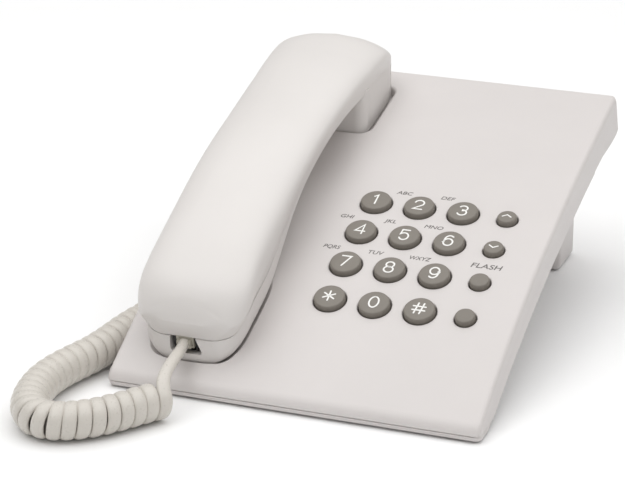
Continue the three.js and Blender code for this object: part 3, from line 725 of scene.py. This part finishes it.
def face_normal(x, y):
    """Normal of the top face, with the finger hollow in it."""
    e = 0.2
    dx = -(scoop(x + e, y) - scoop(x - e, y)) / (2 * e)
    dy = float(arch_slope(y)) - (scoop(x, y + e) - scoop(x, y - e)) / (2 * e)
    n = np.array([-dx, -dy, 1.0])
    return n / np.linalg.norm(n)


ROUNDING = 2.0                        # long edges of the slab
DRAFT = ([0, 60, 100], [0.35, 0.8, 1.5])      # how far the side walls lean in, along y
ROOF = 10.3                           # depth of the space under the cover, below the top face
INNER_HALF, REAR_INSIDE = 72.4, 98.65         # inner faces of the side and rear walls


def cover_sections():
    """(x, inset) of the top cover's side outlines, closest over the rounded long edges."""
    edge = [(HALF_W, ROUNDING)]
    edge += [(HALF_W - ROUNDING * (1 - math.cos(a)), ROUNDING * (1 - math.sin(a)))
             for a in np.linspace(0.18, math.pi / 2, 7)]
    inner = [(x, 0.0) for x in (-70, *range(-62, -8, 2), -5, 5, 20, 40, 60)]
    return [(-x, o) for x, o in edge] + inner + [(x, o) for x, o in edge[::-1]]


def cover_tools():
    """Everything that is cut out of the top cover."""
    ys = np.linspace(-97.2, REAR_INSIDE, 60)
    under = [(y, float(arch_z(y)) - ROOF) for y in ys] + [(y, float(arch_z(y)) - 40) for y in ys[::-1]]
    recess = lofted("recess", [[(x, y, z) for y, z in under] for x in (-INNER_HALF, INNER_HALF)])
    tools = [recess, ear_tool(), mouth_tool()]
    for name, x, y, big in each_key():
        tools.append(on_face(turned("hole", key_hole(BIG_R if big else SMALL_R), 64 if big else 48), x, y))
    tools.append(place(rounded_box("hook_hole", (8, 6, 30), (0, 0, 0), 0.8), (*HOOK, 64)))
    pocket_top = float(arch_z(HOOK[1] - 2.5)) - EAR_DEPTH - 2.6
    tools.append(place(rounded_box("hook_pocket", (11.2, 7.8, 12), (0, 0, -6), 0.5), (*HOOK, pocket_top)))
    for x in SWITCH_SLOTS:
        tools.append(rounded_box("slot", (9.6, 6, 3.5), (x, 99, SWITCH_Z), 0.3))
    return tools


def build_top_cover():
    rings = []
    for x, inset in cover_sections():
        ring = []
        for y, z in side_outline(inset):
            low = float(under_z(y, PARTING_Z))
            rise = np.clip((z - low) / SLAB, 0, 1) if abs(x) > HALF_W - 2.5 else 0
            dip = float(scoop(x, y)) if inset == 0 and abs(z - float(arch_z(y))) < 0.01 else 0
            draft = rise * float(np.interp(y, *DRAFT))
            ring.append((x - math.copysign(draft, x), y, z - dip))
        rings.append(ring)
    cover = lofted("base_top_cover_skin", rings)
    boolean(cover, cover_tools())

    def wanted(point, face):
        x, y, z = point
        if abs(x) > HALF_W - 2.4 or y < -95.4 or y > 98.2:
            return None
        if abs(z - float(arch_z(y)) + float(scoop(x, y))) > 0.05:
            return None
        n = face_normal(x, y)
        return n if face @ n > 0.998 else None

    exact_normals(cover, wanted)
    return cover


piece(build_top_cover(), IVORY, "base", "ivory_plastic", "base_top_cover")

FRONT_FOOT, REAR_FOOT = (4, 1.25, 1.55), (5, 1.55, 1.85)      # radius, height, depth of the seat
LIP_EDGE = ((74.85, 2.0), (74.4, 1.1), (73.6, 0.4), (72.6, 0.0))   # x, inset of the front lip's ends


def foot_seat(foot, x, y):
    """Tool for the round seat of a rubber foot."""
    radius, _, depth = foot
    outline = [(0, -1), (radius + GAP, -1), (radius + GAP, depth), (0, depth)]
    return place(turned("seat", outline, 32), (x, y, 0))


def front_lip():
    """The bottom cover's strip under the nose, rounded at both ends."""
    top = PARTING_Z - GAP
    rings = []
    for x, inset in [(-x, o) for x, o in LIP_EDGE] + [(0, 0.0)] + [(x, o) for x, o in LIP_EDGE[::-1]]:
        outline = [(-99.6 + inset, GROUND_Z + 0.7), (-99.75 + inset, top - 0.2), (-99.55 + inset, top),
                   (-84.4, top), (-88.6, GROUND_Z), (-98.7 + inset, GROUND_Z),
                   (-99.35 + inset, GROUND_Z + 0.2)]
        rings.append([(x, y, z) for y, z in outline])
    return lofted("lip", rings)


def build_bottom_cover():
    ys = np.linspace(-97, 98.3, 70)
    section = [(y, float(under_z(y)) + PLATE) for y in ys] + [(y, float(under_z(y))) for y in ys[::-1]]
    plate = lofted("plate", [[(x, y, z) for y, z in section] for x in (-72.05, -36, 0, 36, 72.05)])
    boolean(plate, [front_lip()], "UNION")
    wells = [foot_seat(FRONT_FOOT, x, y) for x, y in FRONT_FEET]
    well = [(0, -16), (3.2, -16), (3.2, -11.1), (1.3, -11.1), (1.3, -8), (0, -8)]
    wells += [on_face(turned("well", well, 32), x, y) for x, y in BASE_SCREWS]
    keyholes = []
    for x, y in WALL_HOOKS:
        keyholes.append(on_face(turned("eye", [(0, -20), (4.2, -20), (4.2, -11.3), (0, -11.3)], 32), x, y))
        keyholes.append(on_face(rounded_box("slit", (4.4, 14, 6), (0, 7, -14.4), 0.2), x, y))
    boolean(plate, [joined("wells", wells)])
    boolean(plate, keyholes)
    plate.name = "base_bottom_cover_skin"
    return plate


piece(build_bottom_cover(), IVORY, "base", "ivory_plastic", "base_bottom_cover")

STAND_CORNER = 2.6
SOUND_SLOTS, SLOT_PITCH = 9, 3.0      # under the ringer


def build_stand():
    half, front, back = STAND["half"], STAND["front"], STAND["back"]
    rings = []
    for z, grow in ((GROUND_Z, -1.0), (GROUND_Z + 0.25, -0.45), (GROUND_Z + 1.0, 0.0), (20, 0.0), (40, 0.0)):
        rings.append([(x, y, z) for x, y in rounded_outline(-half, half, front, back, STAND_CORNER, grow)])
    plan = rounded_outline(-half, half, front, back, STAND_CORNER)
    rings.append([(x, y, float(arch_z(y)) - SLAB - GAP) for x, y in plan])
    stand = lofted("rear_stand_skin", rings)
    tools = [foot_seat(REAR_FOOT, x, y) for x, y in REAR_FEET]
    tools.append(rounded_box("line_hole", (13.7, 12, 12.7), (LINE_INLET[0], back - 2, LINE_INLET[1]), 0.6))
    tools.append(rounded_box("cord_hole", (10.7, 30, 9.7), (CORD_INLET[0], front + 1, CORD_INLET[1]), 0.6))
    for i in range(SOUND_SLOTS):
        tools.append(rounded_box("slot", (1.6, 12, 8), (10 + i * SLOT_PITCH, 86.2, 0), 0.5))
    return boolean(stand, tools)


piece(build_stand(), IVORY, "base", "ivory_plastic", "rear_stand")


def build_feet(row, feet, foot):
    """One rubber pad for each seat of a row."""
    radius, height, _ = foot
    outline = [(0, 0), (radius - 0.8, 0), (radius - 0.3, 0.15), (radius, 0.5), (radius, height), (0, height)]
    for number, (x, y) in enumerate(feet, 1):
        pad = place(turned(f"{row}_foot_{number}_pad", outline, 40), (x, y, 0))
        piece(pad, RUBBER, "base", "grey_rubber", f"{row}_foot_{number}")


build_feet("front", FRONT_FEET, FRONT_FOOT)
build_feet("rear", REAR_FEET, REAR_FOOT)

# ------------------------------------------------------------------ keys and legends

ROUND = 0.75                          # rounded edge of a key's top
CROWN, FALL = 0.12, 0.30              # extra height in the middle, and the fall from there to the edge
FLANGE, FLANGE_TOP, FLANGE_FOOT = 0.9, -2.8, -3.7
LETTERS_AT = (-8.9, 8.6)              # from the middle of a key to its letters
LETTER_SIZE, FLASH_SIZE = 2.9, 3.7
LEAN = 0.22                           # slant of the letters
FLASH_AT = (54.6, -26.3)


def key_top(r, radius):
    """Height of a key's top above the face, at a distance r from its axis."""
    return KEY_HEIGHT + CROWN - FALL * (np.asarray(r) / radius) ** 2


def build_key(name, radius):
    edge = float(key_top(radius - ROUND, radius))
    outline = [(0, FLANGE_FOOT), (radius + FLANGE, FLANGE_FOOT), (radius + FLANGE, FLANGE_TOP),
               (radius, FLANGE_TOP), (radius - 0.06, edge - ROUND)]
    outline += [(radius - 0.08 - ROUND * (1 - math.cos(a)), edge - ROUND + ROUND * math.sin(a))
                for a in np.linspace(0.15, math.pi / 2 - 0.1, 7)]
    outline += [(r, float(key_top(r, radius))) for r in np.linspace(radius - ROUND - 0.15, 0, 9)]
    return turned(name, outline, 64 if radius > 5 else 48)


def text_mesh(name, words, size, stretch):
    """Thin leaning letters round the origin, in millimetres."""
    data = bpy.data.curves.new(name, "FONT")
    data.body = words
    data.size = size
    data.align_x, data.align_y = "CENTER", "CENTER"
    data.resolution_u = 6
    data.offset = 0.0 if "M" in words else 0.008      # an M closes up when it is made bolder
    data.extrude = 0.06
    source = bpy.data.objects.new(name + "_text", data)
    bpy.context.scene.collection.objects.link(source)
    bpy.context.view_layer.update()
    mesh = bpy.data.meshes.new_from_object(source.evaluated_get(bpy.context.evaluated_depsgraph_get()))
    bpy.data.objects.remove(source)
    co = np.array([v.co for v in mesh.vertices])
    centre = (co.max(0) + co.min(0)) / 2
    co[:, :2] = (co[:, :2] - centre[:2]) * np.array([stretch, 1.0])
    co[:, 0] += LEAN * co[:, 1]
    mesh.vertices.foreach_set("co", co.ravel())
    bm = bmesh.new()
    bm.from_mesh(mesh)
    bmesh.ops.remove_doubles(bm, verts=bm.verts, dist=1e-4)
    bm.to_mesh(mesh)
    bm.free()
    return mesh


def arc(cx, cy, rx, ry, start, end, count=14):
    """Points of an elliptical arc between two angles in degrees."""
    return [(cx + rx * math.cos(a), cy + ry * math.sin(a))
            for a in np.radians(np.linspace(start, end, count))]


def strokes_mesh(name, lines, width, height=0.09):
    """Low rounded strokes along polylines of (x, y) points."""
    points, faces = [], []
    for line in lines:
        p = np.array(line, float)
        step = unit(np.diff(p, axis=0))
        tangent = unit(np.vstack([step[:1], step[:-1] + step[1:], step[-1:]]))
        stretch = np.concatenate([[1], 1 / np.clip((tangent[1:-1] * step[:-1]).sum(1), 0.5, 1), [1]])
        normal = np.stack([-tangent[:, 1], tangent[:, 0]], axis=1) * stretch[:, None]
        reach = width / 2
        rings = []
        for back in (1.0, 0.75, 0.4):
            rings.append((p[0] - tangent[0] * reach * back, normal[0], math.sqrt(max(0.02, 1 - back**2))))
        rings += [(q, n, 1.0) for q, n in zip(p, normal)]
        for back in (0.4, 0.75, 1.0):
            rings.append((p[-1] + tangent[-1] * reach * back, normal[-1], math.sqrt(max(0.02, 1 - back**2))))
        skin = []
        for q, n, size in rings:
            side = n * reach * size
            skin.append([(*(q - side), -height), (*(q + side), -height), (*(q + side), height * 0.35),
                         (*(q + side * 0.7), height * 0.7), (*(q - side * 0.7), height * 0.7),
                         (*(q - side), height * 0.35)])
        new_points, new_faces = loft(skin)
        faces += [tuple(i + len(points) for i in f) for f in new_faces]
        points += [tuple(q) for q in new_points]
    mesh = bpy.data.meshes.new(name)
    mesh.from_pydata(points, [], faces)
    outward(mesh)
    return mesh


def legend(name, mesh, mat, slot_name, body, x, y, height):
    """Lays a flat mesh (mm) on a surface: height(x, y) is measured from the tangent plane at (x, y)."""
    obj = bpy.data.objects.new(name, mesh)
    bpy.context.scene.collection.objects.link(obj)
    co = np.array([v.co for v in mesh.vertices])
    co[:, 2] = co[:, 2] + height(co[:, 0], co[:, 1])
    mesh.vertices.foreach_set("co", (co * MM).ravel())
    mesh.update()
    shade(mesh, 30)
    on_face(obj, x, y)
    return piece(obj, mat, body, slot_name)


W, H = 1.85, 2.8                      # half width and half height of a digit
STAR_R = 2.5
GLYPHS = {
    "key_1": [[(-0.95, 1.75), (0.35, H), (0.35, -H)]],
    "key_2": [arc(0, H - 1.75, W, 1.75, 172, -40) + [(-W, -H), (W, -H)]],
    "key_3": [arc(0, H - 1.55, W * 0.92, 1.55, 150, -90, 14) + arc(0, -1.45, W, 1.65, 90, -155, 16)],
    "key_4": [[(1.05, -H), (1.05, H), (-W - 0.1, -1.25), (W + 0.15, -1.25)]],
    "key_5": [[(W * 0.85, H), (-W * 0.72, H), (-W * 0.9, 0.1)] + arc(0, -1.05, W, 2.05, 128, -150, 18)],
    "key_6": [arc(0.15, H - 2.3, W, 2.3, 48, 180, 10) + [(-W, -1.1)] + arc(0, -1.1, W, 2.0, 180, 540, 26)],
    "key_7": [[(-W, H), (W, H), (-0.7, -H)]],
    "key_8": [arc(0, H - 1.45, W * 0.88, 1.45, -90, 270, 24), arc(0, -1.45, W, 1.65, 90, 450, 24)],
    "key_9": [arc(0, 1.1, W, 2.0, 0, 360, 26) + [(W, 1.1)] + arc(-0.15, -H + 2.3, W, 2.3, 0, -132, 10)],
    "key_0": [arc(0, 0, W, H, 90, 450, 34)],
    "key_star": [[(r * math.cos(a), r * math.sin(a)) for r in (-STAR_R, STAR_R)]
                 for a in np.radians([90, 30, 150])],
    "key_hash": [[(-2.5, 1.0), (2.5, 1.0)], [(-2.5, -1.0), (2.5, -1.0)], [(-1.45, -2.7), (-0.75, 2.7)],
                 [(0.75, -2.7), (1.45, 2.7)]],
    "key_up": [[(-1.75, -0.45), (0, 0.75), (1.75, -0.45)]],
    "key_down": [[(-1.75, 0.45), (0, -0.75), (1.75, 0.45)]],
}

BIG_STROKE, SMALL_STROKE = 0.68, 0.55
LEGEND_SINK = 0.035                   # how far a digit sits in its key's top


def on_key(px, py):
    """Level above the face at which a digit is laid."""
    return 0 * px + KEY_HEIGHT + CROWN - LEGEND_SINK


for name, x, y, big in each_key():
    key = on_face(build_key(name + "_cap", BIG_R if big else SMALL_R), x, y)
    piece(key, KEY_GREY, name, "key_grey", name)
    if name in GLYPHS:
        mesh = strokes_mesh(name + "_legend", GLYPHS[name], BIG_STROKE if big else SMALL_STROKE)
        legend(name + "_legend", mesh, LEGEND_WHITE, "key_grey", name, x, y, on_key)

LETTERS = {"key_2": "ABC", "key_3": "DEF", "key_4": "GHI", "key_5": "JKL", "key_6": "MNO", "key_7": "PQRS",
           "key_8": "TUV", "key_9": "WXYZ"}


def on_base(y):
    """Height of the top face above the tangent plane at y, for a flat legend laid there."""
    def height(px, py):
        return arch_z(y + py) - arch_z(y) - py * arch_slope(y)
    return height


def base_text(name, words, size, stretch, x, y):
    """Grey letters on the slab."""
    mesh = text_mesh(name, words, size, stretch)
    legend(name, mesh, LEGEND_GREY, "ivory_plastic", "base", x, y, on_base(y))


for name, x, y, _ in each_key():
    if name in LETTERS:
        words = LETTERS[name]
        stretch = 1.0 if len(words) > 3 else 1.14
        base_text(name + "_letters", words, LETTER_SIZE, stretch, x + LETTERS_AT[0], y + LETTERS_AT[1])
base_text("flash_label", "FLASH", FLASH_SIZE, 1.22, *FLASH_AT)

# ------------------------------------------------------------------ handset

OUTER_Y = spread((-93, -92.2, 7), (-92.2, -90, 10), (-90, -84, 14), (-84, -60, 22), (-60, 60, 56),
                 (60, 80, 14), (80, 84, 7), (84, 86.6, 9), (86.6, 87.6, 7))
TURN_IN = ([-93, -90.3, -90, -89.2, -88, -86, -83, -80, -45, 20, 60],
           [2, 8.3, 7.6, 6.2, 4.6, 3.7, 3.0, 2.5, 1.8, 1.1, 0.05])      # how far the lower edge curls in


def outer_ring(y):
    """Section of the outer shell: a domed back with sides that curl in at the seam."""
    half, low = float(half_width(y)), float(outer_rim(y))
    high = max(float(crown(y)), low + 0.6)
    t = np.linspace(0, math.pi, 73)
    c, s = np.cos(t), np.sin(t)
    x = half * np.sign(c) * np.abs(c) ** (2 / UPPER_SQUARE)
    share = np.abs(s) ** (2 / UPPER_SQUARE)
    z = low + (high - low) * share - DOME * np.minimum(1, (high - low) / 12) * (x / half) ** 2 * share
    turn_in = float(np.interp(y, *TURN_IN))
    reach = float(np.interp(y, [-80, -60, 20], [6.5, 9, 9]))
    tuck = turn_in * np.clip(1 - (z - low) / reach, 0, 1) ** 1.5
    return [(HX + a - math.copysign(k, a), y, b) for a, b, k in zip(x, z, tuck)]


outer_shell = lofted("handset_outer_skin", [outer_ring(y) for y in OUTER_Y], angle=50)
piece(outer_shell, HANDSET_IVORY, "handset", "handset_plastic", "handset_outer_shell")


def cup_outline(inset):
    """Plan outline of the ear cup, drawn in by inset, anticlockwise from the front right corner."""
    corner, rear = CUP_CORNER, 3
    right = [(CUP_HALF - corner + corner * math.sin(a), CUP_FRONT + corner - corner * math.cos(a))
             for a in np.linspace(0, math.pi / 2, 10)]
    right += [(min(CUP_HALF, float(half_width(y)) - 0.45), y)
              for y in spread((54, 78, 10), (78, CUP_BACK - rear, 4))]
    right += [(CUP_HALF - 0.3 - rear * (1 - math.cos(a)), CUP_BACK - rear + rear * math.sin(a))
              for a in np.linspace(0.2, math.pi / 2, 8)]
    outline = np.array([(HX + x, y) for x, y in right] + [(HX - x, y) for x, y in right[::-1]])
    edge = np.roll(outline, -1, axis=0) - np.roll(outline, 1, axis=0)
    normal = unit(np.stack([edge[:, 1], -edge[:, 0]], axis=1))
    return outline - normal * inset


def cup_bottom(y):
    """Underside of the ear cup, parallel to the slab's face."""
    return arch_z(y) - EAR_DEPTH


def seam_gap(y):
    """The seam shows as a fine line, a little wider round the mouthpiece."""
    return float(np.interp(y, [-85, -50], [0.32, 0.12]))


CUP_ROUNDING = 1.7
EAR_Y, MOUTH_Y = 66.57, -67.46        # middles of the two sound grilles
MOUTH_TILT = 0.43
NOTCH = ((-52.2, 30), (-52.2, 15.6), (-51, 14.6), (-39.8, 14.6), (-39.2, 15.8), (-42.4, 22.4), (-45.8, 30))


def ear_cup():
    """The block round the earpiece, rounded underneath and reaching up to the seam."""
    rings = []
    for a in np.linspace(0, math.pi / 2, 7):
        plan = cup_outline(CUP_ROUNDING * (1 - math.sin(a)))
        rings.append([(x, y, float(cup_bottom(y)) + CUP_ROUNDING * (1 - math.cos(a))) for x, y in plan])
    plan = cup_outline(0)
    for share in (0.35, 0.7, 1.0):
        rings.append([(x, y, (1 - share) * (float(cup_bottom(y)) + CUP_ROUNDING)
                       + share * (float(seam(y)) - seam_gap(y))) for x, y in plan])
    return lofted("cup", rings, 50)


def sound_holes():
    """Tools for the earpiece's three rings of holes and the mouthpiece's row."""
    holes = []
    ear_tilt = math.atan(float(arch_slope(EAR_Y)))
    for ring_radius, count in ((0.0, 1), (4.0, 6), (8.0, 12)):
        for k in range(count):
            a = 2 * math.pi * k / count + 0.13
            y = EAR_Y + ring_radius * math.sin(a)
            hole = turned("hole", [(0, -3), (0.85, -3), (0.85, 1.6), (0, 1.6)], 16)
            holes.append(place(hole, (HX + ring_radius * math.cos(a), y, float(cup_bottom(y))), ear_tilt))
    for k in range(5):
        hole = turned("hole", [(0, -3), (0.8, -3), (0.8, 2.0), (0, 2.0)], 16)
        at = (HX + (k - 2) * 3.2, MOUTH_Y, float(underside(MOUTH_Y)))
        holes.append(place(hole, at, MOUTH_TILT))
    return holes


def build_inner_shell():
    rings = []
    for y in spread((-90.3, -89.2, 8), (-89.2, -84, 14), (-84, -60, 20), (-60, 40, 50), (40, 54, 8)):
        top = float(seam(y)) - seam_gap(y)
        rings.append(lower_ring(y, float(lower_width(y)), top, min(float(underside(y)), top - 0.6),
                                lower_square(y), 64))
    shell = lofted("handset_inner_skin", rings, 50)
    boolean(shell, [ear_cup()], "UNION", 50)
    tools = sound_holes()
    for y in HANDSET_SCREWS:
        well = turned("well", [(0, -6), (2.6, -6), (2.6, 2.4), (0, 2.4)], 32)
        tools.append(place(well, (HX, y, float(underside(y)))))
    tools.append(lofted("notch", [[(x, y, z) for x, z in NOTCH] for y in (-97, -84)]))
    return boolean(shell, [joined("openings", tools)], angle=50)


piece(build_inner_shell(), HANDSET_IVORY, "handset", "handset_plastic", "handset_inner_shell")

PLUG_AT, PLUG_TILT = (-46.3, -92, 18.1), 0.3
PLUG_DEPTH = 2.6                      # how far the plug sits in the handset


def modular_plug(name):
    """Plug pointing to +Y, its cord end at y = 0, with the latch underneath."""
    body = rounded_box("body", (7.2, 12, 5.4), (0, 6, 0.1), 0.35)
    boot = rounded_box("boot", (5.9, 2.4, 3.6), (0, -0.6, 0.0), 0.5)
    latch = lofted("latch", [[(x, 11, -2.4), (x, 11, -3.0), (x, 2.5, -3.7), (x, 1.4, -3.5), (x, 9, -2.2)]
                             for x in (-1.5, 1.5)])
    return joined(name, [body, boot, latch])


handset_plug = place(modular_plug("handset_plug"), (0, PLUG_DEPTH, 0))
piece(place(handset_plug, PLUG_AT, PLUG_TILT), PLUG, "handset", "plug_plastic", "handset_cord_plug")
piece(place(modular_plug("base_plug"), (-49.5, 62, 20)), PLUG, "base", "plug_plastic", "base_cord_plug")

# ------------------------------------------------------------------ carried-over CAD pieces

FINISH = {
    "keypad_membrane": RUBBER, "circuit_board": BOARD, "hook_switch": DARK, "ringer_sounder": DARK,
    "line_jack": DARK, "handset_cord_jack": DARK, "earpiece_capsule": DARK, "microphone_capsule": DARK,
    "handset_jack": DARK, "handset_weight": STEEL, "hook_plunger": IVORY, "ringer_volume_switch": DARK,
    "dial_mode_switch": DARK,
}
FINISH.update({f"base_screw_{n + 1}": STEEL for n in range(len(BASE_SCREWS))})
FINISH.update({f"handset_screw_{n + 1}": STEEL for n in range(len(HANDSET_SCREWS))})
for node_name, finish in FINISH.items():
    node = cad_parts[node_name]
    node.data.materials.clear()
    node.data.materials.append(finish)

bpy.context.view_layer.update()
